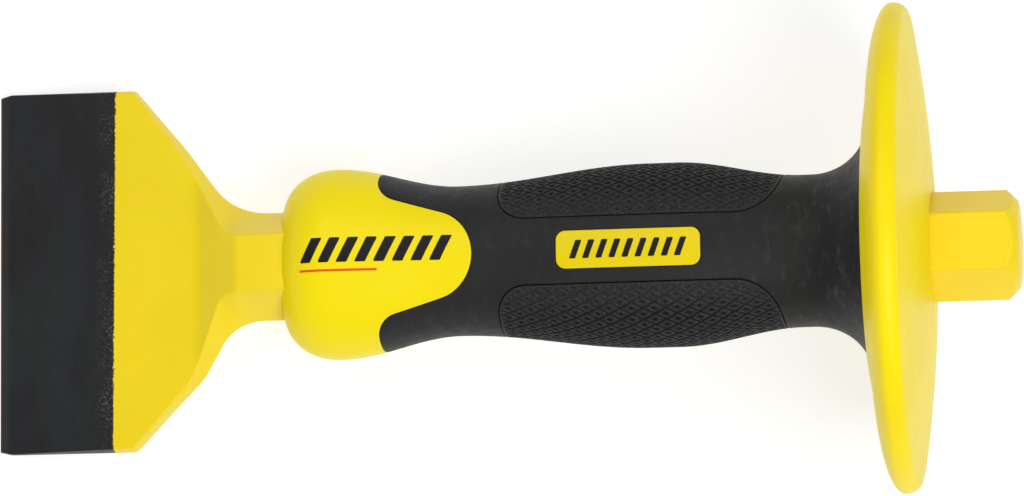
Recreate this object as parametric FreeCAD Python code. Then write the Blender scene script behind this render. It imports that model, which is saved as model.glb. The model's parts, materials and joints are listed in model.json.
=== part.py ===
import FreeCAD, Part
import math
import os

# A 3 inch wide, 8 1/2 inch long cold chisel with a moulded grip and a round hand guard.
# Every piece is drawn in the tool frame (millimetres): X runs from the cutting edge to the struck
# face, Y across the blade, Z out of the blade's broad face, with the shank's axis on X.
# lay_down() then rests the whole tool on a level surface, on its cutting edge and its guard rim.

Vector = FreeCAD.Vector

# --- driving dimensions: the steel forging ---------------------------------------------------
overall_length = 216.0
blade_width = 77.0
hex_across_flats = 20.0
edge_flat = 0.3             # width of the blunt cutting edge itself
bevel_length = 1.8          # ground bevel behind the cutting edge
bevel_thickness = 2.0       # blade thickness at the heel of that bevel
edge_corner_x = 2.5         # small relief at the two ends of the cutting edge
edge_corner_y = 0.6
shoulder_x = 29.5           # where the straight blade sides end
shoulder_radius = 1.5
ramp_foot_x = 43.5          # broad face meets the ramp up to the shank
ramp_foot_thickness = 8.0
ramp_foot_radius = 6.0
ramp_top_x = 52.8           # ramp meets the hexagon's flat
ramp_top_radius = 2.8
blade_side_relief = 0.7     # how far the blade's sides lean in over half the thickness
neck_end_x = 58.2           # both flanks have met the hexagon by here
# The two forged flanks are not quite alike. Each has its bends as (x, half width, radius), then
# (x, radius) of the corner where it would meet the hexagon. The crease is a flank's inner edge.
upper_flank = [(41.0, 24.9, 12.0)]
upper_flank_end = (50.8, 14.3)
upper_crease = [(41.5, 21.6, 12.0)]
upper_crease_end = (50.6, 4.0)
lower_flank = [(36.5, 30.85, 20.0), (44.3, 23.5, 8.0)]
lower_flank_end = (51.0, 10.2)
lower_crease = [(41.8, 24.6, 6.0), (49.3, 6.9, 4.0)]
lower_crease_end = (54.0, 4.0)
head_chamfer = 2.55         # 45 degree cone on the struck head
face_crown = 0.45           # the struck face falls by this much towards the chamfer
face_flat_radius = 5.0      # round its flat middle

# --- driving dimensions: the grip -------------------------------------------------------------
nose_front_x = 61.45
bulb_x = 73.35              # crest of the bulb behind the rounded nose
nose_fullness = 2.2         # exponent of the nose's curve, 2 being a quarter ellipse
front_waist_x = 99.0
swell_start_x = 139.0
swell_end_x = 145.0
rear_waist_x = 171.0
flare_start_x = 173.0
flare_length = 11.9
grip_end_x = 184.8
grip_joint_x = 178.5        # the overmould's rear flange is a piece of its own from here
# half sizes of the oval grip, across the blade (Y) and through it (Z)
nose_front_half = (9.0, 3.0)
bulb_half = (20.05, 16.0)
front_waist_half = (15.7, 14.4)
swell_half = (19.25, 15.0)
rear_waist_half = (15.8, 14.4)
flare_half = (25.2, 25.2)

sleeve_half = (13.4, 12.2)  # hard inner sleeve, an oval tube on the hexagonal shank
sleeve_front_x = 66.5

# --- driving dimensions: where the yellow nose meets the black overmould ------------------------
lobe_x = 82.9               # overmould's lobes on the narrow sides reach forward to here
lobe_radius = 5.5
tongue_tip_x = 103.6        # nose's tongues on the broad faces reach back to here
tongue_radius = 9.4
tongue_slope = 16.5         # degrees between a tongue's flank and the tool axis

# --- driving dimensions: grip panels and badges ---------------------------------------------------
panel_x = (108.4, 167.4)
panel_inner_y = 7.0
panel_front_radius = 6.0
panel_rear_radius = 9.5
panel_depth = 1.6
panel_gap = 0.3
badge_x = (121.2, 151.2)
badge_height = 8.0
badge_radius = 2.0
badge_depth = 1.2

# --- driving dimensions: the hand guard -----------------------------------------------------------
guard_x = 190.8             # plane of the guard's widest circle
guard_radius = 50.7
guard_seat_radius = 26.0    # flat seat for the overmould's flare
guard_band = 0.3            # straight part of the rim, behind guard_x
guard_front_round = (4.4, 15.05)     # rounding of the rim towards the blade, axial and radial
guard_back_round = (2.9, 2.35)       # and towards the head
guard_back_dome = 4.1       # crown of the back face

# --- construction -----------------------------------------------------------------------------------
reach = 60.0                # longer than any radius of the tool, for cutting bodies
overshoot = 1.0             # how far a cutting body runs past what it cuts
floor_overrun = 6.0         # how far a recess's floor runs past the recess at each end
neck_sections = 40          # sections of the forging between its shoulders and its neck's end
nose_section_angles = (78, 66, 54, 42, 30, 15)
flare_section_angles = (15, 30, 45, 58, 70)
grip_section_step = 6.0
closest_sections = 0.2
same_point = 1e-4           # points nearer than this are one point
same_length = 1e-6          # half sizes nearer than this make a circle
angle_tolerance = 1e-12     # radians, in the search for the lying angle
steepest_lie = 45.0         # degrees, where that search starts from above

half_flat = hex_across_flats / 2
half_corner = half_flat / math.cos(math.radians(30))
half_side = half_flat * math.tan(math.radians(30))


# --- helpers --------------------------------------------------------------------------------------
def fillet_of(before, corner, after, radius):
    """Tangent points, middle point and centre of an arc that rounds a corner of a polyline."""
    into = (corner - before).normalize()
    out = (after - corner).normalize()
    turn = into.getAngle(out)
    run = radius * math.tan(turn / 2)
    start = corner - into * run
    end = corner + out * run
    towards = (out - into).normalize()
    centre = corner + towards * (radius / math.cos(turn / 2))
    return start, centre - towards * radius, end, centre


def rounded_profile(corners):
    """y(x) along a polyline of (x, y, radius) whose corners are rounded by tangent arcs."""
    points = [Vector(x, y, 0) for x, y, radius in corners]
    arcs = []
    for i in range(1, len(corners) - 1):
        if corners[i][2] > 0:
            arcs.append(fillet_of(points[i - 1], points[i], points[i + 1], corners[i][2]))

    def height(x):
        for start, middle, end, centre in arcs:
            if start.x <= x <= end.x:
                radius = middle.distanceToPoint(centre)
                side = 1 if middle.y > centre.y else -1
                return centre.y + side * math.sqrt(radius ** 2 - (x - centre.x) ** 2)
        for a, b in zip(points, points[1:]):
            if x <= b.x:
                return a.y + (b.y - a.y) * (x - a.x) / (b.x - a.x)
        return points[-1].y

    return height


def rounded_face(corners):
    """A flat face in XY from closed corners (x, y, radius), rounded by tangent arcs."""
    points = [Vector(x, y, 0) for x, y, radius in corners]
    edges = []
    ends = []
    for i, corner in enumerate(points):
        radius = corners[i][2]
        if radius > 0:
            after = points[(i + 1) % len(points)]
            start, middle, end, centre = fillet_of(points[i - 1], corner, after, radius)
            edges.append(Part.Arc(start, middle, end).toShape())
            ends.append((start, end))
        else:
            ends.append((corner, corner))
    for i in range(len(ends)):
        leave = ends[i - 1][1]
        arrive = ends[i][0]
        if leave.distanceToPoint(arrive) > same_point:
            edges.append(Part.LineSegment(leave, arrive).toShape())
    return Part.Face(Part.Wire(Part.__sortEdges__(edges)))


def through(face):
    """The face in XY extruded right through the tool, above and below its axis."""
    lowered = face.copy()
    lowered.translate(Vector(0, 0, -reach))
    return lowered.extrude(Vector(0, 0, 2 * reach))


def half_through(face, side):
    """The face in XY extruded to one side of the tool's axis only (side +1 is up)."""
    return face.extrude(Vector(0, 0, side * reach))


def slab(x_from, x_to):
    """Everything between two stations, for cutting a piece to length."""
    return Part.makeBox(x_to - x_from, 2 * reach, 2 * reach, Vector(x_from, -reach, -reach))


def hexagon(x, upper, lower, half_thickness):
    """A six-sided section at x: corners on +-Y, flats on +-Z.

    upper and lower are (half width, half width of the flats) on the +Y and on the -Y side.
    """
    ring = [
        (upper[0], 0), (upper[1], half_thickness), (-lower[1], half_thickness),
        (-lower[0], 0), (-lower[1], -half_thickness), (upper[1], -half_thickness)]
    points = [Vector(x, y, z) for y, z in ring]
    return Part.makePolygon(points + [points[0]])


def hex_bar(x_from, x_to):
    """The shank's hexagonal prism between two stations."""
    half = (half_corner, half_side)
    return Part.Face(hexagon(x_from, half, half, half_flat)).extrude(Vector(x_to - x_from, 0, 0))


def oval_wire(x, half_y, half_z):
    """An ellipse across the tool at x."""
    across_y = half_y >= half_z
    major = Vector(x, half_y, 0) if across_y else Vector(x, 0, half_z)
    minor = Vector(x, 0, half_z) if across_y else Vector(x, -half_y, 0)
    centre = Vector(x, 0, 0)
    if abs(half_y - half_z) < same_length:
        return Part.Wire(Part.makeCircle(half_y, centre, Vector(1, 0, 0)))
    return Part.Wire(Part.Ellipse(major, minor, centre).toShape())


def revolve_about_axis(face):
    return face.revolve(Vector(0, 0, 0), Vector(1, 0, 0), 360)


# --- the grip's outer skin --------------------------------------------------------------------------
def blend(start, end, share):
    """Cosine blend between two values."""
    return start + (end - start) * (1 - math.cos(math.pi * share)) / 2


def grip_half(x, axis):
    """Half size of the grip at x, axis 0 across the blade (Y) and 1 through it (Z)."""
    bulb = bulb_half[axis]
    front = front_waist_half[axis]
    swell = swell_half[axis]
    rear = rear_waist_half[axis]
    if x < bulb_x:
        share = (bulb_x - x) / (bulb_x - nose_front_x)
        fullness = (1 - share ** nose_fullness) ** (1 / nose_fullness)
        return nose_front_half[axis] + (bulb - nose_front_half[axis]) * fullness
    if x < front_waist_x:
        return blend(bulb, front, (x - bulb_x) / (front_waist_x - bulb_x))
    if x < swell_start_x:
        return blend(front, swell, (x - front_waist_x) / (swell_start_x - front_waist_x))
    if x < swell_end_x:
        return swell
    if x < rear_waist_x:
        return blend(swell, rear, (x - swell_end_x) / (rear_waist_x - swell_end_x))
    if x < flare_start_x:
        return rear
    share = (x - flare_start_x) / flare_length
    step = (flare_half[axis] - rear) * (1 - math.sqrt(max(0.0, 1 - share ** 2)))
    full = 1 - math.sqrt(1 - ((grip_end_x - flare_start_x) / flare_length) ** 2)
    return rear + step / full


def grip_stations(x_from, x_to):
    """Stations along the grip, closer together at the round nose and at the flare."""
    nose_length = bulb_x - nose_front_x
    nose = [bulb_x - nose_length * math.sin(math.radians(a)) for a in nose_section_angles]
    middle_count = int((rear_waist_x - bulb_x) / grip_section_step) + 1
    middle = [bulb_x + grip_section_step * i for i in range(middle_count)]
    flare = [flare_start_x + flare_length * math.sin(math.radians(a)) for a in flare_section_angles]
    between = [x for x in nose + middle + flare if x_from + closest_sections < x < x_to - closest_sections]
    return [x_from] + between + [x_to]


def grip_skin(inset=0.0, x_from=nose_front_x, x_to=grip_end_x):
    """The grip's outer body, or the same body with its skin moved in by inset."""
    stations = grip_stations(x_from, x_to)
    wires = [oval_wire(x, grip_half(x, 0) - inset, grip_half(x, 1) - inset) for x in stations]
    return Part.makeLoft(wires, True, False)


# --- pieces -----------------------------------------------------------------------------------------
def half_width(flank, flank_end):
    """Half width of the forging along one side, at its widest edge."""
    return rounded_profile([
        (0, blade_width / 2 - edge_corner_y, 0),
        (edge_corner_x, blade_width / 2, 0),
        (shoulder_x, blade_width / 2, shoulder_radius),
        *flank,
        (flank_end[0], half_corner, flank_end[1]),
        (overall_length, half_corner, 0)])


def face_half_width(crease, crease_end):
    """Half width of the forging's broad faces along one side."""
    return rounded_profile([
        (0, blade_width / 2 - edge_corner_y - edge_flat / 2, 0),
        (edge_corner_x, blade_width / 2 - edge_flat / 2, 0),
        (shoulder_x, blade_width / 2 - blade_side_relief, shoulder_radius),
        *crease,
        (crease_end[0], half_side, crease_end[1]),
        (overall_length, half_side, 0)])


def chisel_forging():
    """Blade, neck, hexagonal shank and struck head: one steel forging."""
    upper_edge = half_width(upper_flank, upper_flank_end)
    lower_edge = half_width(lower_flank, lower_flank_end)
    upper_face = face_half_width(upper_crease, upper_crease_end)
    lower_face = face_half_width(lower_crease, lower_crease_end)
    half_thickness = rounded_profile([
        (0, edge_flat / 2, 0),
        (bevel_length, bevel_thickness / 2, 0),
        (ramp_foot_x, ramp_foot_thickness / 2, ramp_foot_radius),
        (ramp_top_x, half_flat, ramp_top_radius),
        (overall_length, half_flat, 0)])
    fine_from = shoulder_x - shoulder_radius
    fine_step = (neck_end_x - fine_from) / neck_sections
    stations = [0, bevel_length, edge_corner_x]
    stations += [fine_from + fine_step * i for i in range(neck_sections + 1)]
    stations += [overall_length]
    wires = []
    for x in stations:
        upper = (upper_edge(x), upper_face(x))
        lower = (lower_edge(x), lower_face(x))
        wires.append(hexagon(x, upper, lower, half_thickness(x)))
    return Part.makeLoft(wires, True, True).cut(head_relief())


def head_relief():
    """What the struck head's chamfer and the slight crown of its face take off the hexagon."""
    rim_r = half_corner - head_chamfer
    fall_run = rim_r - face_flat_radius
    crown_radius = (fall_run ** 2 + face_crown ** 2) / (2 * face_crown)
    half_fall = crown_radius - math.sqrt(crown_radius ** 2 - (fall_run / 2) ** 2)
    chamfer_top = Vector(overall_length - face_crown - head_chamfer, half_corner, 0)
    chamfer_foot = Vector(overall_length - face_crown, rim_r, 0)
    crown_middle = Vector(overall_length - half_fall, face_flat_radius + fall_run / 2, 0)
    crown_end = Vector(overall_length, face_flat_radius, 0)
    outside = [
        crown_end,
        Vector(overall_length + overshoot, face_flat_radius, 0),
        Vector(overall_length + overshoot, half_corner + overshoot, 0),
        Vector(chamfer_top.x, half_corner + overshoot, 0),
        chamfer_top,
        chamfer_foot]
    edges = [Part.LineSegment(a, b).toShape() for a, b in zip(outside, outside[1:])]
    edges.append(Part.Arc(chamfer_foot, crown_middle, crown_end).toShape())
    return revolve_about_axis(Part.Face(Part.Wire(edges)))


def sleeve_body(x_from):
    """Outer shape of the hard inner sleeve, as a plain oval bar."""
    oval = Part.Face(oval_wire(x_from, *sleeve_half))
    return oval.extrude(Vector(grip_end_x - x_from, 0, 0))


def core_sleeve():
    """Hard plastic sleeve moulded on to the hexagonal shank, under the whole grip."""
    return sleeve_body(sleeve_front_x).cut(hex_bar(nose_front_x, grip_end_x + overshoot))


def nose_region():
    """Plan area of the yellow nose, with its two tongues' outline."""
    turn = math.radians(90 - tongue_slope)
    tip_y = tongue_radius * math.tan(turn / 2)
    rise = (tongue_tip_x - lobe_x) * math.tan(math.radians(tongue_slope))
    lobe_y = tip_y + rise
    front_x = nose_front_x - overshoot
    return rounded_face([
        (front_x, -reach, 0),
        (lobe_x, -reach, 0),
        (lobe_x, -lobe_y, lobe_radius),
        (tongue_tip_x, -tip_y, tongue_radius),
        (tongue_tip_x, tip_y, tongue_radius),
        (lobe_x, lobe_y, lobe_radius),
        (lobe_x, reach, 0),
        (front_x, reach, 0)])


def nose_collar(skin):
    """Yellow bulb at the front of the grip, a thumb stop with a tongue on each broad face."""
    bulb = skin.common(through(nose_region()))
    bulb = bulb.cut(sleeve_body(sleeve_front_x))
    return bulb.cut(hex_bar(nose_front_x - overshoot, sleeve_front_x + overshoot))


def panel_region(side, margin):
    """Plan area of one textured panel, on the +Y or -Y side, grown by margin."""
    inner = side * (panel_inner_y - margin)
    outer = side * reach
    x_from = panel_x[0] - margin
    x_to = panel_x[1] + margin
    return rounded_face([
        (x_from, outer, 0),
        (x_from, inner, panel_front_radius + margin),
        (x_to, inner, panel_rear_radius + margin),
        (x_to, outer, 0)])


def panel_floor():
    """Grip body below the panels' recesses."""
    return grip_skin(panel_depth, panel_x[0] - floor_overrun, panel_x[1] + floor_overrun)


def grip_panel(skin, side):
    """One textured rubber panel, let into the overmould on a narrow side of the grip."""
    return skin.common(through(panel_region(side, 0.0))).cut(panel_floor())


def badge_region():
    """Plan area of a badge, a plain rounded rectangle."""
    half = badge_height / 2
    return rounded_face([
        (badge_x[0], -half, badge_radius),
        (badge_x[1], -half, badge_radius),
        (badge_x[1], half, badge_radius),
        (badge_x[0], half, badge_radius)])


def badge_floor():
    """Grip body below the badges' recesses."""
    return grip_skin(badge_depth, badge_x[0] - floor_overrun, badge_x[1] + floor_overrun)


def badge(skin, side):
    """Yellow inlay on one broad face of the grip (side +1 is the upper face)."""
    return skin.common(half_through(badge_region(), side)).cut(badge_floor())


def whole_overmould(skin):
    """Black rubber skin over the sleeve, flared out to the guard at its rear."""
    body = skin.cut(through(nose_region()))
    body = body.cut(sleeve_body(nose_front_x))
    floor = panel_floor()
    for side in (1, -1):
        ring = through(panel_region(side, panel_gap)).cut(floor)
        body = body.cut(ring)
    floor = badge_floor()
    return body.cut(through(badge_region()).cut(floor))


def grip_overmould(overmould):
    """The rubber skin up to its rear flange, waisted at both ends."""
    return overmould.common(slab(nose_front_x, grip_joint_x))


def grip_flare(overmould):
    """The rubber's rear flange, which seats the guard."""
    return overmould.common(slab(grip_joint_x, grip_end_x + overshoot))


def quarter_ellipse(centre, axial, radial):
    """Edge of a quarter ellipse in XY, from its highest point to its end along X.

    axial is negative for a quarter that lies towards the blade.
    """
    top = centre + Vector(0, radial, 0)
    end = centre + Vector(axial, 0, 0)
    if radial > abs(axial):
        curve = Part.Ellipse(top, end, centre)
    else:
        curve = Part.Ellipse(end, top, centre)
    first, last = sorted((curve.parameter(top), curve.parameter(end)))
    return Part.Edge(curve, first, last)


def guard_disc():
    """Soft round hand guard pushed up against the flare, held on the hexagon."""
    front_r = guard_radius - guard_front_round[1]
    front_x = guard_x - guard_front_round[0]
    back_r = guard_radius - guard_back_round[1]
    back_x = guard_x + guard_band + guard_back_round[0]
    crown_x = back_x + guard_back_dome
    middle_r = (guard_seat_radius + front_r) / 2
    middle_x = grip_end_x + (front_x - grip_end_x) / 4
    dome_middle_x = crown_x - guard_back_dome / 4

    def at(x, r):
        return Vector(x, r, 0)

    edges = [
        Part.LineSegment(at(grip_end_x, 0), at(grip_end_x, guard_seat_radius)).toShape(),
        Part.Arc(at(grip_end_x, guard_seat_radius), at(middle_x, middle_r), at(front_x, front_r)).toShape(),
        quarter_ellipse(at(guard_x, front_r), -guard_front_round[0], guard_front_round[1]),
        Part.LineSegment(at(guard_x, guard_radius), at(guard_x + guard_band, guard_radius)).toShape(),
        quarter_ellipse(at(guard_x + guard_band, back_r), guard_back_round[0], guard_back_round[1]),
        Part.Arc(at(back_x, back_r), at(dome_middle_x, back_r / 2), at(crown_x, 0)).toShape(),
        Part.LineSegment(at(crown_x, 0), at(grip_end_x, 0)).toShape()]
    face = Part.Face(Part.Wire(Part.__sortEdges__(edges)))
    return revolve_about_axis(face).cut(hex_bar(grip_end_x - overshoot, crown_x + overshoot))


# --- resting position ---------------------------------------------------------------------------------
def lying_angle():
    """Tilt at which the bevel's heel and the guard's rim touch one level surface, in radians."""
    heel = (bevel_length, -bevel_thickness / 2)
    centre = (guard_x, -(guard_radius - guard_front_round[1]))

    def gap(angle):
        up = (math.sin(angle), math.cos(angle))
        rim_reach = math.hypot(guard_front_round[0] * up[0], guard_front_round[1] * up[1])
        rim = centre[0] * up[0] + centre[1] * up[1] - rim_reach
        return rim - (heel[0] * up[0] + heel[1] * up[1])

    low = 0.0
    high = math.radians(steepest_lie)
    while high - low > angle_tolerance:
        middle = (low + high) / 2
        if gap(middle) < 0:
            low = middle
        else:
            high = middle
    return low


def lay_down(pieces):
    """Tilt every piece by the lying angle and put the origin under the middle of the tool."""
    angle = lying_angle()
    turn = FreeCAD.Rotation(Vector(0, 1, 0), -math.degrees(angle))
    for shape in pieces.values():
        shape.Placement = FreeCAD.Placement(Vector(0, 0, 0), turn)
    steel = pieces["chisel_forging"].optimalBoundingBox(False, False)
    heel_z = bevel_length * math.sin(angle) - bevel_thickness / 2 * math.cos(angle)
    middle_x = (steel.XMin + steel.XMax) / 2
    for shape in pieces.values():
        shape.Placement = FreeCAD.Placement(Vector(-middle_x, 0, -heel_z), turn)
    print("lying angle %.4f degrees, shift x %.4f z %.4f" % (math.degrees(angle), -middle_x, -heel_z))


def main():
    skin = grip_skin()
    overmould = whole_overmould(skin)
    pieces = {
        "chisel_forging": chisel_forging(),
        "core_sleeve": core_sleeve(),
        "nose_collar": nose_collar(skin),
        "grip_overmould": grip_overmould(overmould),
        "grip_flare": grip_flare(overmould),
        "grip_panel_upper": grip_panel(skin, 1),
        "grip_panel_lower": grip_panel(skin, -1),
        "badge_front": badge(skin, 1),
        "badge_back": badge(skin, -1),
        "guard_disc": guard_disc(),
    }
    lay_down(pieces)
    os.makedirs("parts", exist_ok=True)
    for node, shape in pieces.items():
        print(node, "solids", len(shape.Solids), "volume %.1f" % shape.Volume, "valid", shape.isValid())
        shape.exportStep("parts/%s.step" % node)


main()
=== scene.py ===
import json
import math

import bpy
import numpy as np
from mathutils import Matrix, Vector


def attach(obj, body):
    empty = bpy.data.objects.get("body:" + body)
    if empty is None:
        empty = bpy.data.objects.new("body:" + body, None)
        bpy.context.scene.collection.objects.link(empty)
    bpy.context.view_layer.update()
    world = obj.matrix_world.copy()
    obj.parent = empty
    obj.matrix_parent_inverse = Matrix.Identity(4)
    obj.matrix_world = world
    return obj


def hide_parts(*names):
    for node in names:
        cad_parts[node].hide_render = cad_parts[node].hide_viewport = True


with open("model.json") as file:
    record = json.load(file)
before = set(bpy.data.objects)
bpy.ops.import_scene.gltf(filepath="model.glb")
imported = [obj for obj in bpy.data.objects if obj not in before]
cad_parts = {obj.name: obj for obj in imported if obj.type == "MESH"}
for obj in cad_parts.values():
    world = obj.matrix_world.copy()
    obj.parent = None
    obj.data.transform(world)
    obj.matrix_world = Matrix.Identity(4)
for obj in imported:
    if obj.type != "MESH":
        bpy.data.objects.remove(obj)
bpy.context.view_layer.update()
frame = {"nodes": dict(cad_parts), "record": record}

# All shapes below are drawn in the tool frame, in millimetres: X from the cutting edge to the
# struck face, Y across the blade, Z out of its broad face. to_row() puts them where the CAD is.
MM = 0.001
mounts = {m["name"]: m for m in frame["record"]["mounts"]}
edge_point = Vector(mounts["cutting_edge"]["pos_m"])
head_point = Vector(mounts["striking_face"]["pos_m"])
tool_x = (head_point - edge_point).normalized()
tool_y = Vector((0, 1, 0))
tool_z = tool_x.cross(tool_y)
tool_axes = Matrix((tool_x, tool_y, tool_z)).transposed()
tool_length = (head_point - edge_point).length / MM

# --- sizes of the forging --------------------------------------------------------------------
blade_half_width = 38.5
blade_side_relief = 0.7
edge_half_thickness = 0.15
bevel_length = 1.8
bevel_half_thickness = 1.0
edge_corner = (2.5, 0.6)
shoulder_x = 29.5
shoulder_radius = 1.5
ramp_foot = (43.5, 4.0)
ramp_foot_radius = 6.0
ramp_top_x = 52.8
ramp_top_radius = 2.8
# Bends of the two flanks and of their creases, (x, half width, radius), up to the hexagon.
upper_flank = [(41.0, 24.9, 12.0)]
upper_flank_end = (50.8, 14.3)
upper_crease = [(41.5, 21.6, 12.0)]
upper_crease_end = (50.6, 4.0)
lower_flank = [(36.5, 30.85, 20.0), (44.3, 23.5, 8.0)]
lower_flank_end = (51.0, 10.2)
lower_crease = [(41.8, 24.6, 6.0), (49.3, 6.9, 4.0)]
lower_crease_end = (54.0, 4.0)
half_flat = 10.0
half_corner = half_flat / math.cos(math.radians(30))
half_side = half_flat * math.tan(math.radians(30))
paint_line_x = 25.3
paint_line_slant = 0.008
chamfer_from_x = 213.0
crown_rim_radius = 9.0
crown_flat_radius = 5.0
crown_height = 0.45

# --- sizes of the grip -----------------------------------------------------------------------
nose_front_x = 61.45
bulb_x = 73.35
nose_fullness = 2.2
nose_front_half = (9.0, 3.0)
front_waist_x = 99.0
swell_x = (139.0, 145.0)
rear_waist_x = 171.0
flare_start_x = 173.0
flare_length = 11.9
grip_end_x = 184.8
bulb_half = (20.05, 16.0)
front_waist_half = (15.7, 14.4)
swell_half = (19.25, 15.0)
rear_waist_half = (15.8, 14.4)
flare_half = 25.2
lobe_x = 82.9
lobe_radius = 5.5
tongue_tip_x = 103.6
tongue_radius = 9.4
tongue_slope = math.radians(16.5)
panel_x = (108.4, 167.4)
panel_inner_y = 7.0
panel_radii = (6.0, 9.5)
badge_x = (121.2, 151.2)
badge_half_height = 4.0
badge_radius = 2.0
# Path lengths along the skin that are left free at the grip's two ends.
nose_seat_s = 0.4
flange_end_gap = 0.05
# Radii that turn a step on the skin into an angle, all round and on the broad faces.
grip_mean_radius = 17.5
broad_face_radius = 16.0

# --- sizes of the guard ----------------------------------------------------------------------
guard_x = 190.8
guard_radius = 50.7
guard_seat_radius = 26.0
guard_band = 0.3
guard_front_round = (4.4, 15.05)
guard_back_round = (2.9, 2.35)
guard_back_dome = 4.1
guard_hub_radius = 13.0
guard_hub_width = 1.3
guard_hub_round = 0.45
guard_bore_radius = guard_hub_radius - guard_hub_width
guard_bore_slack = 0.15
guard_round_to = 16.0


# --- making pieces ---------------------------------------------------------------------------
def to_row(points):
    """Tool millimetres to row metres."""
    axes = np.array(tool_axes)
    return np.asarray(points) @ axes.T * MM + np.array(edge_point)


def make_piece(name, points, faces, material, nodes=(), marks=None):
    """A smooth mesh piece that rides on the tool, with its tool coordinates kept for its material."""
    mesh = bpy.data.meshes.new(name)
    mesh.from_pydata(to_row(points).tolist(), [], faces)
    mesh.validate()
    mesh.attributes.new("tool", "FLOAT_VECTOR", "POINT").data.foreach_set(
        "vector", np.asarray(points, np.float32).ravel())
    for key, values in (marks or {}).items():
        mesh.attributes.new(key, "FLOAT", "POINT").data.foreach_set(
            "value", np.asarray(values, np.float32))
    mesh.shade_smooth()
    mesh.materials.append(material)
    piece = bpy.data.objects.new(name, mesh)
    bpy.context.scene.collection.objects.link(piece)
    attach(piece, "root")
    if nodes:
        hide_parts(*nodes)
    return piece


# --- plane outlines --------------------------------------------------------------------------
def fillet(before, corner, after, radius, steps):
    """Points of the tangent arc that rounds one corner of a polyline."""
    into = (corner - before).normalized()
    out = (after - corner).normalized()
    turn = into.angle(out)
    run = radius * math.tan(turn / 2)
    centre = corner + (out - into).normalized() * (radius / math.cos(turn / 2))
    start = corner - into * run - centre
    side = 1 if into.x * out.y - into.y * out.x > 0 else -1
    arc = []
    for i in range(steps + 1):
        a = side * turn * i / steps
        c, s = math.cos(a), math.sin(a)
        arc.append(centre + Vector((start.x * c - start.y * s, start.x * s + start.y * c)))
    return arc


def outline(corners, steps=12):
    """A closed outline from (x, y, radius) corners, as an array of points."""
    spots = [Vector(c[:2]) for c in corners]
    points = []
    for i, (x, y, radius) in enumerate(corners):
        if radius > 0:
            points += fillet(spots[i - 1], spots[i], spots[(i + 1) % len(spots)], radius, steps)
        else:
            points.append(spots[i])
    return np.array([tuple(p) for p in points])


def distance_to(shape, x, y):
    """Signed plan distance to a closed outline, negative inside."""
    a = shape
    b = np.roll(shape, -1, axis=0)
    px, py = np.asarray(x)[..., None], np.asarray(y)[..., None]
    ex, ey = b[:, 0] - a[:, 0], b[:, 1] - a[:, 1]
    wx, wy = px - a[:, 0], py - a[:, 1]
    share = np.clip((wx * ex + wy * ey) / np.maximum(ex ** 2 + ey ** 2, 1e-12), 0, 1)
    gap = np.hypot(wx - share * ex, wy - share * ey).min(-1)
    spans = (a[:, 1] > py) != (b[:, 1] > py)
    ey_safe = np.where(np.abs(ey) < 1e-12, 1e-12, ey)
    crossing = spans & (px < ex * (py - a[:, 1]) / ey_safe + a[:, 0])
    inside = crossing.sum(-1) % 2 == 1
    return np.where(inside, -gap, gap)


# --- the grip's skin -------------------------------------------------------------------------
def cosine(start, end, share):
    return start + (end - start) * (1 - np.cos(np.pi * np.clip(share, 0, 1))) / 2


def grip_half(x, axis):
    """Half size of the grip at x, axis 0 across the blade (Y) and 1 through it (Z)."""
    bulb, front = bulb_half[axis], front_waist_half[axis]
    swell, rear = swell_half[axis], rear_waist_half[axis]
    nose_share = np.clip((bulb_x - x) / (bulb_x - nose_front_x), 0, 1)
    fullness = (1 - nose_share ** nose_fullness) ** (1 / nose_fullness)
    nose = nose_front_half[axis] + (bulb - nose_front_half[axis]) * fullness
    flare_share = np.clip((x - flare_start_x) / flare_length, 0, 1)
    full = 1 - math.sqrt(1 - ((grip_end_x - flare_start_x) / flare_length) ** 2)
    flare = rear + (flare_half - rear) * (1 - np.sqrt(1 - flare_share ** 2)) / full
    to_waist = cosine(bulb, front, (x - bulb_x) / (front_waist_x - bulb_x))
    to_swell = cosine(front, swell, (x - front_waist_x) / (swell_x[0] - front_waist_x))
    to_rear = cosine(swell, rear, (x - swell_x[1]) / (rear_waist_x - swell_x[1]))
    return np.select(
        [x < bulb_x, x < front_waist_x, x < swell_x[0], x < swell_x[1], x < rear_waist_x],
        [nose, to_waist, to_swell, np.full_like(x, swell), to_rear], flare)


def skin_rows():
    """Path length s along the skin, with x and the two half sizes at each s."""
    nose = bulb_x - (bulb_x - nose_front_x) * np.cos(np.linspace(0, math.pi / 2, 400))
    rest = np.linspace(bulb_x, flare_start_x, 1200)[1:]
    flare_turn = math.asin((grip_end_x - flare_start_x) / flare_length)
    flare = flare_start_x + flare_length * np.sin(np.linspace(0, flare_turn, 300))[1:]
    x = np.concatenate([nose, rest, flare])
    half_y, half_z = grip_half(x, 0), grip_half(x, 1)
    steps = np.sqrt(np.diff(x) ** 2 + np.diff((half_y + half_z) / 2) ** 2)
    s = np.concatenate([[0], np.cumsum(steps)])
    return s, x, half_y, half_z


row_s, row_x, row_y, row_z = skin_rows()
slope_x, slope_y, slope_z = (np.gradient(v, row_s) for v in (row_x, row_y, row_z))


def s_at(x):
    return np.interp(x, row_x, row_s)


def skin(s, t):
    """Points and outward normals of the grip at s along it and t round it, from +Y towards +Z."""
    x, a, b = (np.interp(s, row_s, v) for v in (row_x, row_y, row_z))
    dx, da, db = (np.interp(s, row_s, v) for v in (slope_x, slope_y, slope_z))
    c, d = np.cos(t), np.sin(t)
    points = np.stack([x, a * c, b * d], -1)
    normals = np.stack([-(c * c * da / a + d * d * db / b), dx * c / a, dx * d / b], -1)
    return points, normals / np.linalg.norm(normals, axis=-1, keepdims=True)


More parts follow.
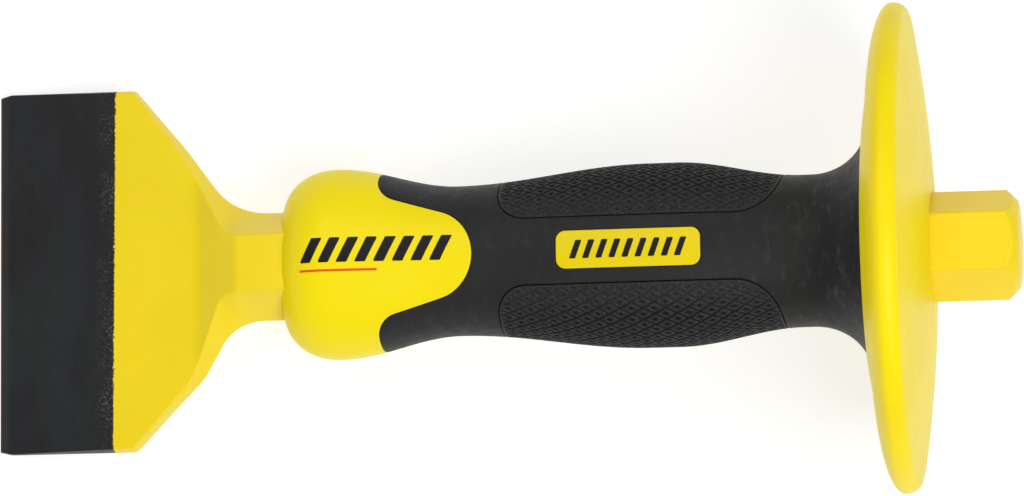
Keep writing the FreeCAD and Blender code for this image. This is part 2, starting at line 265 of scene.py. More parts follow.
# --- regions of the skin: each gives a signed distance, negative inside ----------------------
def nose_outline():
    turn = math.radians(90) - tongue_slope
    tip_y = tongue_radius * math.tan(turn / 2)
    lobe_y = tip_y + (tongue_tip_x - lobe_x) * math.tan(tongue_slope)
    return outline([
        (0, -90, 0), (lobe_x, -90, 0), (lobe_x, -lobe_y, lobe_radius),
        (tongue_tip_x, -tip_y, tongue_radius), (tongue_tip_x, tip_y, tongue_radius),
        (lobe_x, lobe_y, lobe_radius), (lobe_x, 90, 0), (0, 90, 0)], 24)


def panel_outline(side):
    corners = [
        (panel_x[0], side * 90, 0),
        (panel_x[0], side * panel_inner_y, panel_radii[0]),
        (panel_x[1], side * panel_inner_y, panel_radii[1]),
        (panel_x[1], side * 90, 0)]
    return outline(corners if side > 0 else corners[::-1], 20)


def badge_outline():
    h = badge_half_height
    return outline([
        (badge_x[0], -h, badge_radius), (badge_x[1], -h, badge_radius),
        (badge_x[1], h, badge_radius), (badge_x[0], h, badge_radius)])


NOSE = nose_outline()
PANELS = {1: panel_outline(1), -1: panel_outline(-1)}
BADGE = badge_outline()


def in_nose(p, s):
    return np.maximum(distance_to(NOSE, p[..., 0], p[..., 1]), nose_seat_s - s)


def in_panel(side):
    return lambda p, s: distance_to(PANELS[side], p[..., 0], p[..., 1])


def in_badge(p, s):
    return distance_to(BADGE, p[..., 0], p[..., 1])


def in_overmould(p, s):
    away = [-distance_to(shape, p[..., 0], p[..., 1])
            for shape in (NOSE, PANELS[1], PANELS[-1], BADGE)]
    return np.maximum.reduce(away + [s - row_s[-1] + flange_end_gap])


def in_shapes(shapes):
    def region(p, s):
        return np.minimum.reduce([distance_to(shape, p[..., 0], p[..., 1]) for shape in shapes])
    return region


# --- turning a region of the skin into a closed moulded piece --------------------------------
border_sweeps = 3
snap_rounds = 6
snap_reach = 0.6
snap_probe = 0.02
edge_angles = (30, 60, 90)


def tidy_cells(keep, wraps):
    """Fills single-cell notches and drops single-cell spurs along a region's border."""
    for _ in range(border_sweeps):
        padded = np.pad(keep, ((1, 1), (0, 0)))
        if wraps:
            padded = np.concatenate([padded[:, -1:], padded, padded[:, :1]], 1)
        else:
            padded = np.pad(padded, ((0, 0), (1, 1)))
        near = (padded[:-2, 1:-1].astype(int) + padded[2:, 1:-1]
                + padded[1:-1, :-2] + padded[1:-1, 2:])
        keep = (keep & (near >= 2)) | (near >= 3)
    return keep


def moulding(s_values, t_values, wraps, region, gap, edge_radius, depth, relief=None, lift=0.0):
    """A closed shell over the part of the skin where region < 0, with rounded edges.

    gap is left all round, depth is the shell's thickness, relief adds height to the skin from
    (points, s, t, distance to the border), and lift raises the whole face.
    Returns points, faces and the relief at each point.
    """
    columns = len(t_values)
    s_grid, t_grid = np.meshgrid(s_values, t_values, indexing="ij")
    t_next = np.roll(t_values, -1)
    if wraps:
        t_next[-1] += 2 * math.pi
    cell_t = (t_values + t_next) / 2 if wraps else (t_values[1:] + t_values[:-1]) / 2
    cell_s = (s_values[1:] + s_values[:-1]) / 2
    cs, ct = np.meshgrid(cell_s, cell_t, indexing="ij")
    keep = tidy_cells(region(skin(cs, ct)[0], cs) < -(gap + edge_radius), wraps)

    i, j = np.nonzero(keep)
    k = (j + 1) % columns
    corner_ids = np.stack([i * columns + j, i * columns + k,
                           (i + 1) * columns + k, (i + 1) * columns + j], 1)
    used, cells = np.unique(corner_ids, return_inverse=True)
    cells = cells.reshape(-1, 4)
    s, t = s_grid.ravel()[used].copy(), t_grid.ravel()[used].copy()

    sides = np.concatenate([cells[:, [0, 1]], cells[:, [1, 2]], cells[:, [2, 3]], cells[:, [3, 0]]])
    code = sides[:, 0].astype(np.int64) * len(used) + sides[:, 1]
    twin = sides[:, 1].astype(np.int64) * len(used) + sides[:, 0]
    border = sides[~np.isin(code, twin)]
    rim = np.unique(border)

    target = -(gap + edge_radius)

    def slopes(s_at_rim, t_at_rim):
        p, n = skin(s_at_rim, t_at_rim)
        here = region(p, s_at_rim)
        radius = np.hypot(p[:, 1], p[:, 2])
        ahead = skin(s_at_rim + snap_probe, t_at_rim)[0]
        beside = skin(s_at_rim, t_at_rim + snap_probe / radius)[0]
        by_s = (region(ahead, s_at_rim + snap_probe) - here) / snap_probe
        by_t = (region(beside, s_at_rim) - here) / snap_probe
        return p, n, here, by_s, by_t, radius, ahead, beside

    for _ in range(snap_rounds):
        p, n, here, by_s, by_t, radius, ahead, beside = slopes(s[rim], t[rim])
        steepness = np.maximum(by_s ** 2 + by_t ** 2, 1e-6)
        move = np.clip((target - here) / steepness, -snap_reach, snap_reach)
        s[rim] += move * by_s
        t[rim] += move * by_t / radius
    p, n, here, by_s, by_t, radius, ahead, beside = slopes(s[rim], t[rim])
    along = (ahead - p) / np.linalg.norm(ahead - p, axis=1, keepdims=True)
    around = (beside - p) / np.linalg.norm(beside - p, axis=1, keepdims=True)
    outward = along * by_s[:, None] + around * by_t[:, None]
    outward /= np.maximum(np.linalg.norm(outward, axis=1, keepdims=True), 1e-9)

    face_points, face_normals = skin(s, t)
    height = np.full(len(s), lift)
    if relief is not None:
        height = height + relief(face_points, s, t, -region(face_points, s) - gap)
    inner = face_points - face_normals * depth
    face = face_points + face_normals * height[:, None]

    points = [face]
    marks = [height]
    ring_of = [np.full(len(s), -1)]
    ring_of[0][rim] = rim
    count = len(face)
    for angle in edge_angles:
        a = math.radians(angle)
        ring = (face[rim] + outward * edge_radius * math.sin(a)
                - n * edge_radius * (1 - math.cos(a)))
        ids = np.full(len(s), -1)
        ids[rim] = count + np.arange(len(rim))
        points.append(ring)
        marks.append(height[rim] - edge_radius * (1 - math.cos(a)))
        ring_of.append(ids)
        count += len(ring)
    floor_ids = count + np.arange(len(s))
    inner[rim] = p + outward * edge_radius - n * depth
    points.append(inner)
    marks.append(np.full(len(s), -depth))
    ring_of.append(floor_ids)

    faces = cells.tolist()
    for upper, lower in zip(ring_of, ring_of[1:]):
        faces += np.stack([upper[border[:, 1]], upper[border[:, 0]],
                           lower[border[:, 0]], lower[border[:, 1]]], 1).tolist()
    faces += floor_ids[cells[:, ::-1]].tolist()
    return np.concatenate(points), faces, np.concatenate(marks)


def steps_between(start, end, step):
    """Values from start to end, about step apart."""
    return np.linspace(start, end, int(round((end - start) / step)) + 1)


def full_turn(step):
    """Angles round the whole grip, about step apart on its skin."""
    count = int(round(2 * math.pi * grip_mean_radius / step))
    return np.linspace(0, 2 * math.pi, count, endpoint=False)


# --- materials -------------------------------------------------------------------------------
class Look:
    """One procedural material, built around a Principled shader and the pieces' tool coordinates."""

    def __init__(self, name, **values):
        self.material = bpy.data.materials.new(name)
        self.material.use_nodes = True
        self.tree = self.material.node_tree
        self.shader = self.tree.nodes["Principled BSDF"]
        for socket, value in values.items():
            self.shader.inputs[socket.replace("_", " ")].default_value = value
        self.place = self.node("ShaderNodeAttribute", attribute_name="tool").outputs["Vector"]

    def node(self, kind, **settings):
        made = self.tree.nodes.new(kind)
        for key, value in settings.items():
            setattr(made, key, value)
        return made

    def join(self, output, socket):
        self.tree.links.new(output, socket)

    def feed(self, node, values):
        for key, value in values.items():
            if hasattr(value, "is_linked"):
                self.join(value, node.inputs[key])
            else:
                node.inputs[key].default_value = value
        return node

    def math(self, operation, a, b=0.0):
        return self.feed(self.node("ShaderNodeMath", operation=operation), {0: a, 1: b}).outputs[0]

    def noise(self, scale, detail=2.0, rough=0.5, place=None):
        made = self.node("ShaderNodeTexNoise")
        self.feed(made, {"Vector": place or self.place, "Scale": scale, "Detail": detail,
                         "Roughness": rough})
        return made.outputs["Fac"]

    def stretched(self, x, y, z):
        return self.feed(self.node("ShaderNodeVectorMath", operation="MULTIPLY"),
                         {0: self.place, 1: (x, y, z)}).outputs[0]

    def remap(self, value, low, high, to_low, to_high):
        made = self.node("ShaderNodeMapRange")
        return self.feed(made, {0: value, 1: low, 2: high, 3: to_low, 4: to_high}).outputs[0]

    def mix(self, share, a, b):
        made = self.node("ShaderNodeMix", data_type="RGBA")
        self.feed(made, {"Factor": share})
        for key, value in ((6, a), (7, b)):
            if hasattr(value, "is_linked"):
                self.join(value, made.inputs[key])
            else:
                made.inputs[key].default_value = (*value, 1.0)
        return made.outputs[2]

    def colour(self, value):
        self.join(value, self.shader.inputs["Base Color"])

    def rough(self, value):
        self.join(value, self.shader.inputs["Roughness"])

    def bump(self, *layers):
        """Stacks (height socket, distance in mm) layers into the shader's normal."""
        normal = None
        for height, distance in layers:
            made = self.node("ShaderNodeBump")
            self.feed(made, {"Height": height, "Strength": 1.0, "Distance": distance * MM})
            if normal:
                self.join(normal, made.inputs["Normal"])
            normal = made.outputs["Normal"]
        self.join(normal, self.shader.inputs["Normal"])


def painted_steel():
    """Satin yellow paint over a forging, with the cutting end left in its black scale."""
    look = Look("painted_steel", Coat_Weight=0.08, Coat_Roughness=0.2, IOR=1.45,
                Specular_IOR_Level=0.34)
    along, across = look.feed(look.node("ShaderNodeSeparateXYZ"), {0: look.place}).outputs[:2]
    x = look.math("SUBTRACT", along, look.math("MULTIPLY", across, paint_line_slant))
    teeth = look.math("MULTIPLY", look.remap(look.noise(1.5, 4, 0.7), 0.3, 0.7, -0.34, 0.34),
                      look.remap(look.noise(0.14, 2), 0.42, 0.58, 0.35, 1.0))
    ragged = look.math("ADD", x, teeth)
    paint = look.remap(ragged, paint_line_x - 0.06, paint_line_x + 0.06, 0, 1)
    scorch = look.remap(ragged, paint_line_x - 0.32, paint_line_x - 0.06, 0, 0.5)
    near_line = look.math("MULTIPLY",
                          look.remap(x, paint_line_x - 4.5, paint_line_x - 0.3, 0.0, 1.0),
                          look.remap(look.noise(0.09, 2, 0.5), 0.46, 0.58, 0.2, 1.0))
    dust = look.remap(look.noise(2.2, 3, 0.8), 0.55, 0.64, 0, 0.75)
    dust = look.math("MULTIPLY", dust, near_line)

    shade = look.remap(look.noise(0.05, 2), 0.35, 0.65, 0, 1)
    yellow = look.mix(shade, (0.87, 0.655, 0.004), (0.91, 0.69, 0.006))
    smear = look.stretched(1.6, 0.5, 1)
    cool = look.remap(look.noise(0.06, 4, 0.6, smear), 0.42, 0.66, 0, 1)
    green = look.remap(look.noise(0.11, 4, 0.65, look.stretched(1.2, 0.35, 0.7)), 0.52, 0.70, 0, 0.8)
    black = look.mix(cool, (0.0075, 0.0075, 0.0085), (0.012, 0.0135, 0.0175))
    black = look.mix(green, black, (0.013, 0.0165, 0.0145))
    # Painted sheen: the ground bevel and the cutting edge are tinted paler and browner to stand in for
    # the sheen along them.
    bevel = look.remap(along, bevel_length, bevel_length + 0.4, 0.10, 0)
    black = look.mix(bevel, black, (0.07, 0.068, 0.062))
    edge_sheen = look.remap(along, 0.25, 0.6, 0.8, 0)
    black = look.mix(edge_sheen, black, (0.055, 0.034, 0.016))
    black = look.mix(scorch, black, (0.13, 0.075, 0.02))
    black = look.mix(dust, black, (0.20, 0.19, 0.16))
    look.colour(look.mix(paint, black, yellow))

    scale_rough = look.remap(look.noise(0.25, 3, 0.6, look.stretched(1, 0.5, 1)), 0.3, 0.7, 0.36, 0.54)
    paint_rough = look.remap(look.noise(0.4, 2), 0.3, 0.7, 0.34, 0.42)
    look.rough(look.math("ADD", look.math("MULTIPLY", scale_rough, look.math("SUBTRACT", 1.0, paint)),
                         look.math("MULTIPLY", paint_rough, paint)))
    forged = look.noise(0.22, 3, 0.5)
    peel = look.noise(1.6, 2, 0.5)
    pits = look.math("MULTIPLY", look.noise(2.6, 3, 0.7), look.math("SUBTRACT", 1.0, paint))
    look.bump((forged, 0.10), (peel, 0.012), (pits, 0.02), (paint, 0.05))
    return look.material


def moulded_yellow(name, low, high, roughness, coat):
    """Self-coloured yellow moulding with a faint mould texture."""
    look = Look(name, Coat_Weight=coat, Coat_Roughness=0.25, IOR=1.45, Specular_IOR_Level=0.2,
                Subsurface_Weight=0.05, Subsurface_Scale=0.003)
    cloud = look.remap(look.noise(0.045, 3), 0.35, 0.65, 0, 1)
    look.colour(look.mix(cloud, low, high))
    look.rough(look.remap(look.noise(0.3, 3), 0.3, 0.7, roughness - 0.04, roughness + 0.05))
    look.bump((look.noise(0.05, 2), 0.06), (look.noise(1.5, 2, 0.6), 0.003))
    return look.material


def grip_rubber():
    """Satin black rubber with a fine grain and a few pale rub marks near the guard."""
    look = Look("grip_rubber", IOR=1.45, Specular_IOR_Level=0.34)
    x = look.feed(look.node("ShaderNodeSeparateXYZ"), {0: look.place}).outputs[0]
    cloud = look.remap(look.noise(0.08, 3), 0.35, 0.65, 0, 1)
    base = look.mix(cloud, (0.0095, 0.0095, 0.0105), (0.0125, 0.0125, 0.0135))
    near_guard = look.remap(x, 160, 178, 0.3, 1)
    rub = look.remap(look.noise(0.35, 4, 0.7, look.stretched(1.5, 0.6, 0.8)), 0.55, 0.75, 0, 0.55)
    look.colour(look.mix(look.math("MULTIPLY", rub, near_guard), base, (0.075, 0.075, 0.074)))
    look.rough(look.remap(look.noise(0.5, 3), 0.3, 0.7, 0.50, 0.62))
    look.bump((look.noise(0.15, 2), 0.03), (look.noise(5.0, 3, 0.7), 0.010))
    return look.material


def panel_rubber():
    """The panels' rubber: dull and painted darker in the grooves and pits as painted shade, paler on
    the rings between them as a painted highlight over a fine grit.
    """
    look = Look("panel_rubber", IOR=1.45, Specular_IOR_Level=0.36)
    relief = look.node("ShaderNodeAttribute", attribute_name="relief").outputs["Fac"]
    crest = look.remap(relief, -0.26, 0.0, 0, 1)
    grit = look.remap(look.noise(2.4, 3, 0.8), 0.42, 0.64, 0, 1)
    lit_crest_grit = look.mix(grit, (0.003, 0.003, 0.004), (0.031, 0.031, 0.033))
    # Grooves and pits take a near-black painted shade; the rings take the paler grit tone as a painted
    # highlight.
    look.colour(look.mix(crest, (0.0015, 0.0015, 0.002), lit_crest_grit))
    look.rough(look.remap(crest, 0, 1, 0.8, 0.5))
    look.bump((look.noise(2.2, 3, 0.8), 0.12))
    return look.material


def sleeve_plastic():
    """Dull dark plastic, on the CAD's own mesh and so in its object coordinates, in metres."""
    look = Look("sleeve_plastic", IOR=1.46)
    look.place = look.node("ShaderNodeTexCoord").outputs["Object"]
    look.colour(look.mix(look.noise(60.0, 3), (0.03, 0.03, 0.03), (0.05, 0.05, 0.05)))
    look.rough(look.remap(look.noise(300.0, 2), 0.3, 0.7, 0.45, 0.6))
    look.bump((look.noise(900.0, 2), 0.01))
    return look.material


def marking_ink(name, colour):
    """A slightly uneven printed colour."""
    look = Look(name, IOR=1.45, Specular_IOR_Level=0.2)
    look.colour(look.mix(look.noise(1.2, 3), colour, tuple(c * 1.25 for c in colour)))
    look.rough(look.remap(look.noise(2.0, 2), 0.3, 0.7, 0.38, 0.5))
    look.bump((look.noise(4.0, 2), 0.004))
    return look.material


# --- the forging -----------------------------------------------------------------------------
no_limit = 99.0


def profile(corners, steps=10):
    """y(x) along a polyline of (x, y, radius) with rounded corners."""
    spots = [Vector(c[:2]) for c in corners]
    points = [spots[0]]
    for i in range(1, len(corners) - 1):
        if corners[i][2] > 0:
            points += fillet(spots[i - 1], spots[i], spots[i + 1], corners[i][2], steps)
        else:
            points.append(spots[i])
    points.append(spots[-1])
    xs = np.array([p.x for p in points])
    ys = np.array([p.y for p in points])
    return lambda x: np.interp(x, xs, ys)


def section(upper, lower, half_thickness, side_radius, face_radius):
    """One rounded six-sided section of the forging as (y, z) points, always the same count.

    upper and lower are (half width, half width of the flats) on the +Y and on the -Y side.
    """
    ring = [(upper[0], 0, side_radius), (upper[1], half_thickness, face_radius),
            (-lower[1], half_thickness, face_radius), (-lower[0], 0, side_radius),
            (-lower[1], -half_thickness, face_radius), (upper[1], -half_thickness, face_radius)]
    flat_counts = (7, 25, 7, 7, 25, 7)
    rounding_share = 0.42
    spots = [Vector(c[:2]) for c in ring]
    arcs = []
    for i, (_, _, radius) in enumerate(ring):
        before, here, after = spots[i - 1], spots[i], spots[(i + 1) % 6]
        turn = (here - before).angle(after - here)
        room = rounding_share * min((here - before).length, (after - here).length)
        radius = min(radius, room / math.tan(turn / 2)) if turn > 0.01 else radius
        arcs.append(fillet(before, here, after, radius, 6))
    points = []
    for i in range(6):
        points += arcs[i]
        leave, arrive = arcs[i][-1], arcs[(i + 1) % 6][0]
        count = flat_counts[i]
        points += [leave.lerp(arrive, (n + 1) / (count + 1)) for n in range(count)]
    return np.array([tuple(p) for p in points])


def forging_stations():
    """(x, largest radius) pairs from the cutting edge to the rim of the struck face's flat."""
    stations = [0, 0.08, 0.3, 0.9, 1.5, 1.72, 1.8, 1.88, 2.1, 2.5]
    stations += list(np.arange(3.5, 28.0, 1.2))
    stations += list(np.arange(28.4, 62.0, 0.3))
    stations += list(np.arange(66, 190, 8.0))
    stations += list(np.arange(192, chamfer_from_x - 0.3, 0.8))
    pairs = [(x, no_limit) for x in stations] + [(chamfer_from_x - 0.15, half_corner)]
    chamfer_end_x = tool_length - crown_height
    run = chamfer_end_x - chamfer_from_x
    for share in np.linspace(0.02, 0.94, 12):
        x = chamfer_from_x + run * share
        pairs.append((x, half_corner + (crown_rim_radius - half_corner) * share))
    crown_run = crown_rim_radius - crown_flat_radius
    crown_arc = (crown_run ** 2 + crown_height ** 2) / (2 * crown_height)
    for share in np.linspace(0.04, 1, 12):
        out = crown_run * (1 - share)
        x = tool_length - crown_arc + math.sqrt(crown_arc ** 2 - out ** 2)
        pairs.append((x, crown_flat_radius + out))
    return pairs


def side_of_forging(bends, end, relief, end_half):
    """Half width along one side, from the cutting edge to the struck face."""
    return profile([
        (0, blade_half_width - edge_corner[1] - relief[0], 0),
        (edge_corner[0], blade_half_width - relief[0], 1.5),
        (shoulder_x, blade_half_width - relief[1], shoulder_radius),
        *bends, (end[0], end_half, end[1]), (tool_length, end_half, 0)])


def forging():
    """Blade, ramps, neck, hexagonal shank and struck head as one closed skin."""
    face_relief = (edge_half_thickness, blade_side_relief)
    upper_edge = side_of_forging(upper_flank, upper_flank_end, (0, 0), half_corner)
    lower_edge = side_of_forging(lower_flank, lower_flank_end, (0, 0), half_corner)
    upper_face = side_of_forging(upper_crease, upper_crease_end, face_relief, half_side)
    lower_face = side_of_forging(lower_crease, lower_crease_end, face_relief, half_side)
    half_thickness = profile([
        (0, edge_half_thickness, 0), (bevel_length, bevel_half_thickness, 0.3),
        (*ramp_foot, ramp_foot_radius), (ramp_top_x, half_flat, ramp_top_radius),
        (tool_length, half_flat, 0)])
    side_radius = profile([(0, 0.4, 0), (30, 0.8, 0), (50, 0.95, 0), (tool_length, 0.95, 0)])
    face_radius = profile([
        (0, 0.2, 0), (20, 0.35, 0), (34, 0.8, 0), (50, 1.0, 0), (tool_length, 0.9, 0)])
    rings = []
    for x, limit in forging_stations():
        upper = (float(upper_edge(x)), float(upper_face(x)))
        lower = (float(lower_edge(x)), float(lower_face(x)))
        rounding = (float(side_radius(x)), float(face_radius(x)))
        ring = section(upper, lower, float(half_thickness(x)), *rounding)
        reach = np.hypot(ring[:, 0], ring[:, 1])
        if limit < no_limit:
            ring = ring * np.minimum(1, limit / reach)[:, None]
        rings.append(np.column_stack([np.full(len(ring), x), ring]))
    return close_rings(rings, (0, 0, 0), (tool_length, 0, 0))


def close_rings(rings, start, end):
    """Quads between rings of equal count, with a fan at each end."""
    count = len(rings[0])
    points = np.concatenate(rings + [np.array([start, end], float)])
    faces = []
    for r in range(len(rings) - 1):
        a, b = r * count, (r + 1) * count
        faces += [(a + i, a + (i + 1) % count, b + (i + 1) % count, b + i) for i in range(count)]
    last = (len(rings) - 1) * count
    centre = len(rings) * count
    faces += [((i + 1) % count, i, centre) for i in range(count)]
    faces += [(last + i, last + (i + 1) % count, centre + 1) for i in range(count)]
    return points, faces


# --- the guard -------------------------------------------------------------------------------
def guard_profile():
    """(x, r) of the guard's section, from the seat round the rim to the hub at the back."""
    front_r = guard_radius - guard_front_round[1]
    front_x = guard_x - guard_front_round[0]
    back_r = guard_radius - guard_back_round[1]
    back_x = guard_x + guard_band + guard_back_round[0]
    crown_x = back_x + guard_back_dome

    def dome(r):
        return crown_x - guard_back_dome * (r / back_r) ** 2

    points = [(grip_end_x, r) for r in np.linspace(half_corner, guard_seat_radius, 10)]
    for share in np.linspace(0, 1, 13)[1:]:
        r = guard_seat_radius + (front_r - guard_seat_radius) * share
        points.append((grip_end_x + (front_x - grip_end_x) * share ** 2, r))
    for a in np.radians(np.linspace(0, 90, 41)[1:]):
        points.append((guard_x - guard_front_round[0] * math.cos(a),
                       front_r + guard_front_round[1] * math.sin(a)))
    for a in np.radians(np.linspace(0, 90, 15)):
        points.append((guard_x + guard_band + guard_back_round[0] * math.sin(a),
                       back_r + guard_back_round[1] * math.cos(a)))
    points += [(dome(r), r) for r in np.linspace(back_r, guard_hub_radius, 40)[1:]]
    for share in np.linspace(0, 1, 9)[1:]:
        r = guard_hub_radius - guard_hub_width * share
        points.append((dome(r) - guard_hub_round * (1 - math.sqrt(1 - share ** 2)), r))
    return points


def guard():
    """The lathed disc, its inner rings drawn in to the shank's hexagon."""
    turns = 288
    angles = np.linspace(0, 2 * math.pi, turns, endpoint=False)
    to_flat = (angles % math.radians(60)) - math.radians(30)
    hexagon = half_flat / np.cos(to_flat)
    rings = []
    for x, r in guard_profile():
        share = np.clip((guard_round_to - r) / (guard_round_to - guard_bore_radius), 0, 1)
        radius = r + share * (hexagon - half_corner - guard_bore_slack)
        rings.append(np.column_stack(
            [np.full(turns, x), radius * np.cos(angles), radius * np.sin(angles)]))
    count = len(rings)
    points = np.concatenate(rings)
    faces = []
    for r in range(count):
        a, b = r * turns, (r + 1) % count * turns
        faces += [(a + i, a + (i + 1) % turns, b + (i + 1) % turns, b + i) for i in range(turns)]
    return points, faces


# --- textured panels -------------------------------------------------------------------------
diamond_length = 4.7
diamond_width = 2.8
diamond_steps = 8
groove_depth = 0.40
groove_reach = 0.30
pit_depth = 0.42
pit_rim = 0.70
pit_wall = 0.30
# The relief is weakest at the panel's inner edge and fades out along its border.
least_strength = 0.35
strength_run = 7.0
plain_border = 0.45
border_blend = 0.25
panel_margin = 0.6
panel_half_turn = math.radians(76)


def diamonds(points, s, t, from_border):
    """Grooved diamonds, each a raised ring round a small deep pit."""
    round_y = np.where(np.cos(t) > 0, t, math.pi - t)
    round_y = (round_y + math.pi) % (2 * math.pi) - math.pi
    u = points[:, 0] / diamond_length
    v = round_y * grip_mean_radius / diamond_width
    a = np.abs((u + v) % 1 - 0.5)
    b = np.abs((u - v) % 1 - 0.5)
    spacing = 1 / math.hypot(1 / diamond_length, 1 / diamond_width)
    in_edge = (0.5 - np.maximum(a, b)) * spacing
    groove = -groove_depth * np.clip(1 - in_edge / groove_reach, 0, 1)
    pit = -pit_depth * np.clip((in_edge - pit_rim) / pit_wall, 0, 1)
    outward = np.abs(points[:, 1]) - panel_inner_y
    strength = np.clip(outward / strength_run, least_strength, 1)
    fade = np.clip((from_border - plain_border) / border_blend, 0, 1) * strength
    return (groove + pit) * fade


def make_panels():
    look = panel_rubber()
    s_step = diamond_length / 2 / diamond_steps
    t_step = diamond_width / 2 / diamond_steps / grip_mean_radius
    s_first = s_at(panel_x[0] - panel_margin)
    s_values = np.arange(s_first, s_at(panel_x[1] + panel_margin), s_step)
    t_values = np.arange(-panel_half_turn, panel_half_turn, t_step)
    for name, side in (("grip_panel_upper", 1), ("grip_panel_lower", -1)):
        t = t_values if side > 0 else t_values + math.pi
        points, faces, height = moulding(
            s_values, t, False, in_panel(side), gap=0.07, edge_radius=0.22, depth=1.4,
            relief=diamonds)
        make_piece("textured_" + name, points, faces, look, [name],
                   {"relief": height})


# --- assembling the pieces -------------------------------------------------------------------
broad_faces = (("front", math.pi / 2), ("back", -math.pi / 2))
bar_corner = 0.15
mark_margin = 0.5
mark_reach_radius = 14.5
widest_mark_reach = 0.95
badge_half_turn = 0.34
badge_step = 0.25
grip_step = 0.5


def slanted_bars(x_from, x_to, count, y_low, y_high, width, lean):
    """A row of equal slanted bars as plan outlines."""
    shapes = []
    pitch = (x_to - x_from - width - lean) / (count - 1)
    for i in range(count):
        x = x_from + pitch * i
        shapes.append(outline([
            (x, y_low, bar_corner), (x + width, y_low, bar_corner),
            (x + width + lean, y_high, bar_corner), (x + lean, y_high, bar_corner)], 4))
    return shapes


def bar(x_from, x_to, y_low, y_high):
    """One straight line as a plan outline with nearly round ends."""
    r = (y_high - y_low) * 0.4
    return outline([(x_from, y_low, r), (x_to, y_low, r), (x_to, y_high, r), (x_from, y_high, r)], 4)


def make_marks(name, shapes, look, lift, step=0.15):
    """Thin raised marks on both broad faces."""
    low = np.min([shape.min(0) for shape in shapes], 0) - mark_margin
    high = np.max([shape.max(0) for shape in shapes], 0) + mark_margin
    s_values = steps_between(s_at(low[0]), s_at(high[0]), step)
    reach = max(abs(low[1]), abs(high[1])) / mark_reach_radius
    t_step = step / broad_face_radius
    half = math.asin(min(widest_mark_reach, reach))
    for side, centre in broad_faces:
        t_values = np.arange(centre - half, centre + half, t_step)
        points, faces, _ = moulding(
            s_values, t_values, False, in_shapes(shapes), gap=0.0, edge_radius=0.06, depth=0.2,
            lift=lift)
        make_piece(name + "_" + side, points, faces, look)


def make_grip():
    rubber = grip_rubber()
    nose_look = moulded_yellow("nose_plastic", (0.92, 0.735, 0.001), (0.96, 0.77, 0.002),
                               roughness=0.38, coat=0.02)
    badge_look = moulded_yellow("badge_plastic", (0.80, 0.62, 0.002), (0.84, 0.65, 0.003),
                                roughness=0.34, coat=0.05)

    points, faces, _ = moulding(
        steps_between(0.0, s_at(tongue_tip_x + 1), grip_step), full_turn(grip_step), True,
        in_nose, gap=0.02, edge_radius=0.15, depth=1.2)
    make_piece("nose_bulb", points, faces, nose_look, ["nose_collar"])

    points, faces, _ = moulding(
        steps_between(s_at(lobe_x - 1), row_s[-1], grip_step), full_turn(grip_step), True,
        in_overmould, gap=0.05, edge_radius=0.25, depth=1.0)
    make_piece("rubber_overmould", points, faces, rubber,
               ["grip_overmould", "grip_flare"])

    s_values = steps_between(s_at(badge_x[0] - 1), s_at(badge_x[1] + 1), badge_step)
    for side, centre in broad_faces:
        t_values = np.arange(centre - badge_half_turn, centre + badge_half_turn,
                             badge_step / broad_face_radius)
        points, faces, _ = moulding(
            s_values, t_values, False, in_badge, gap=0.05, edge_radius=0.2, depth=1.0, lift=0.12)
        make_piece("inlay_" + side, points, faces, badge_look, ["badge_" + side])

    dark = marking_ink("dark_marking", (0.010, 0.009, 0.008))
    red = marking_ink("red_marking", (0.72, 0.085, 0.012))
    badge_bars = slanted_bars(124.0, 148.4, 9, -1.9, 1.9, width=1.3, lean=1.4)
    nose_bars = slanted_bars(67.6, 99.6, 8, -1.3, 3.9, width=2.3, lean=2.6)
    nose_line = bar(67.5, 84.0, -3.2, -2.7)
    make_marks("badge_bars", badge_bars, dark, lift=0.2)
    make_marks("nose_bars", nose_bars, dark, lift=0.05)
    make_marks("nose_line", [nose_line], red, lift=0.05)
    sleeve = frame["nodes"]["core_sleeve"].data
    sleeve.materials.clear()
    sleeve.materials.append(sleeve_plastic())


def make_steel():
    points, faces = forging()
    piece = make_piece("chisel_steel", points, faces, painted_steel(),
                       ["chisel_forging"])
    piece.modifiers.new("even_shading", "WEIGHTED_NORMAL").keep_sharp = True


def make_guard():
    points, faces = guard()
    look = moulded_yellow("guard_vinyl", (0.92, 0.72, 0.001), (0.96, 0.76, 0.002),
                          roughness=0.40, coat=0.0)
    make_piece("hand_guard", points, faces, look, ["guard_disc"])


# --- camera, light and floor -----------------------------------------------------------------
camera_distance = 1000.0
camera_yaw = math.radians(8.79)
camera_pitch = math.radians(-7.05)
camera_roll = math.radians(1.74)
camera_offset = Vector((1.84, 2.50, 0))
camera_lens = 168.2
sensor_width = 36.0
world_strength = 0.41
floor_half_size = 3.0


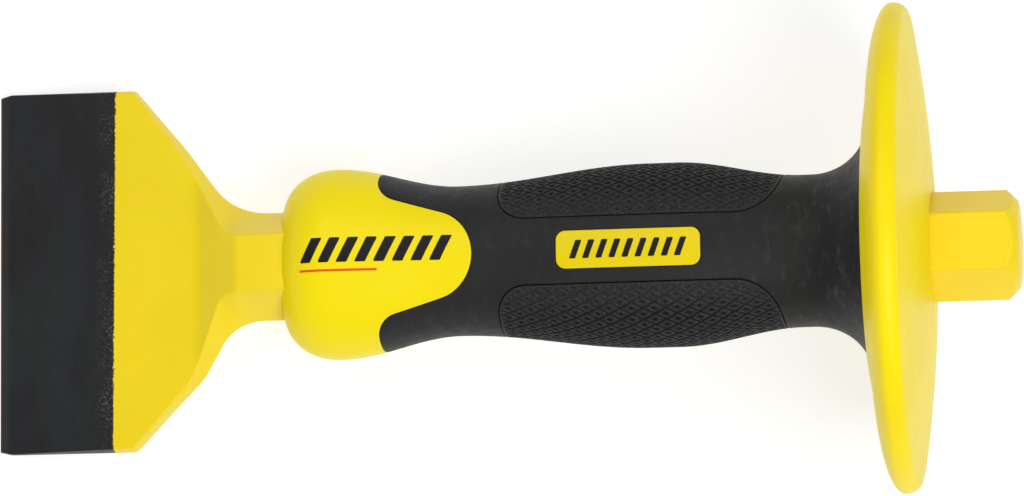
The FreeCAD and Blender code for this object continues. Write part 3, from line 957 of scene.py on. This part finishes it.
def make_camera():
    turn = (Matrix.Rotation(camera_roll, 3, "Z") @ Matrix.Rotation(-camera_yaw, 3, "Y")
            @ Matrix.Rotation(camera_pitch, 3, "X"))
    back = turn.transposed()
    from_middle = camera_offset + Vector((0, 0, camera_distance))
    spot = Vector((tool_length / 2, 0, 0)) + back @ from_middle
    data = bpy.data.cameras.new("camera")
    data.lens = camera_lens
    data.sensor_width = sensor_width
    camera = bpy.data.objects.new("camera", data)
    place = Matrix.Translation(edge_point + tool_axes @ spot * MM)
    camera.matrix_world = place @ (tool_axes @ back).to_4x4()
    bpy.context.scene.collection.objects.link(camera)
    bpy.context.scene.camera = camera


def make_light(name, spot, size, power):
    """A round area light at spot, in metres, turned to the origin."""
    data = bpy.data.lights.new(name, "AREA")
    data.shape = "DISK"
    data.size = size
    data.energy = power
    light = bpy.data.objects.new(name, data)
    light.location = spot
    light.rotation_euler = (-Vector(spot)).to_track_quat("-Z", "Y").to_euler()
    bpy.context.scene.collection.objects.link(light)


def make_studio():
    make_light("key", (0.30, -0.45, 1.15), size=0.7, power=9.0)
    make_light("fill", (-0.35, 0.6, 1.0), size=0.9, power=2.9)
    world = bpy.data.worlds.new("studio")
    world.use_nodes = True
    background = world.node_tree.nodes["Background"]
    background.inputs["Color"].default_value = (1, 1, 1, 1)
    background.inputs["Strength"].default_value = world_strength
    bpy.context.scene.world = world
    bpy.context.scene.view_settings.view_transform = "Standard"
    mesh = bpy.data.meshes.new("floor")
    half = floor_half_size
    mesh.from_pydata([(-half, -half, 0), (half, -half, 0), (half, half, 0), (-half, half, 0)], [],
                     [(0, 1, 2, 3)])
    floor = bpy.data.objects.new("floor", mesh)
    bpy.context.scene.collection.objects.link(floor)
    look = Look("floor_paper", Roughness=0.9, Emission_Color=(1, 1, 1, 1), Emission_Strength=0.72)
    look.place = look.node("ShaderNodeTexCoord").outputs["Object"]
    look.colour(look.mix(look.noise(3.0, 2), (0.36, 0.36, 0.36), (0.37, 0.37, 0.37)))
    mesh.materials.append(look.material)


make_camera()
make_studio()
make_steel()
make_grip()
make_panels()
make_guard()
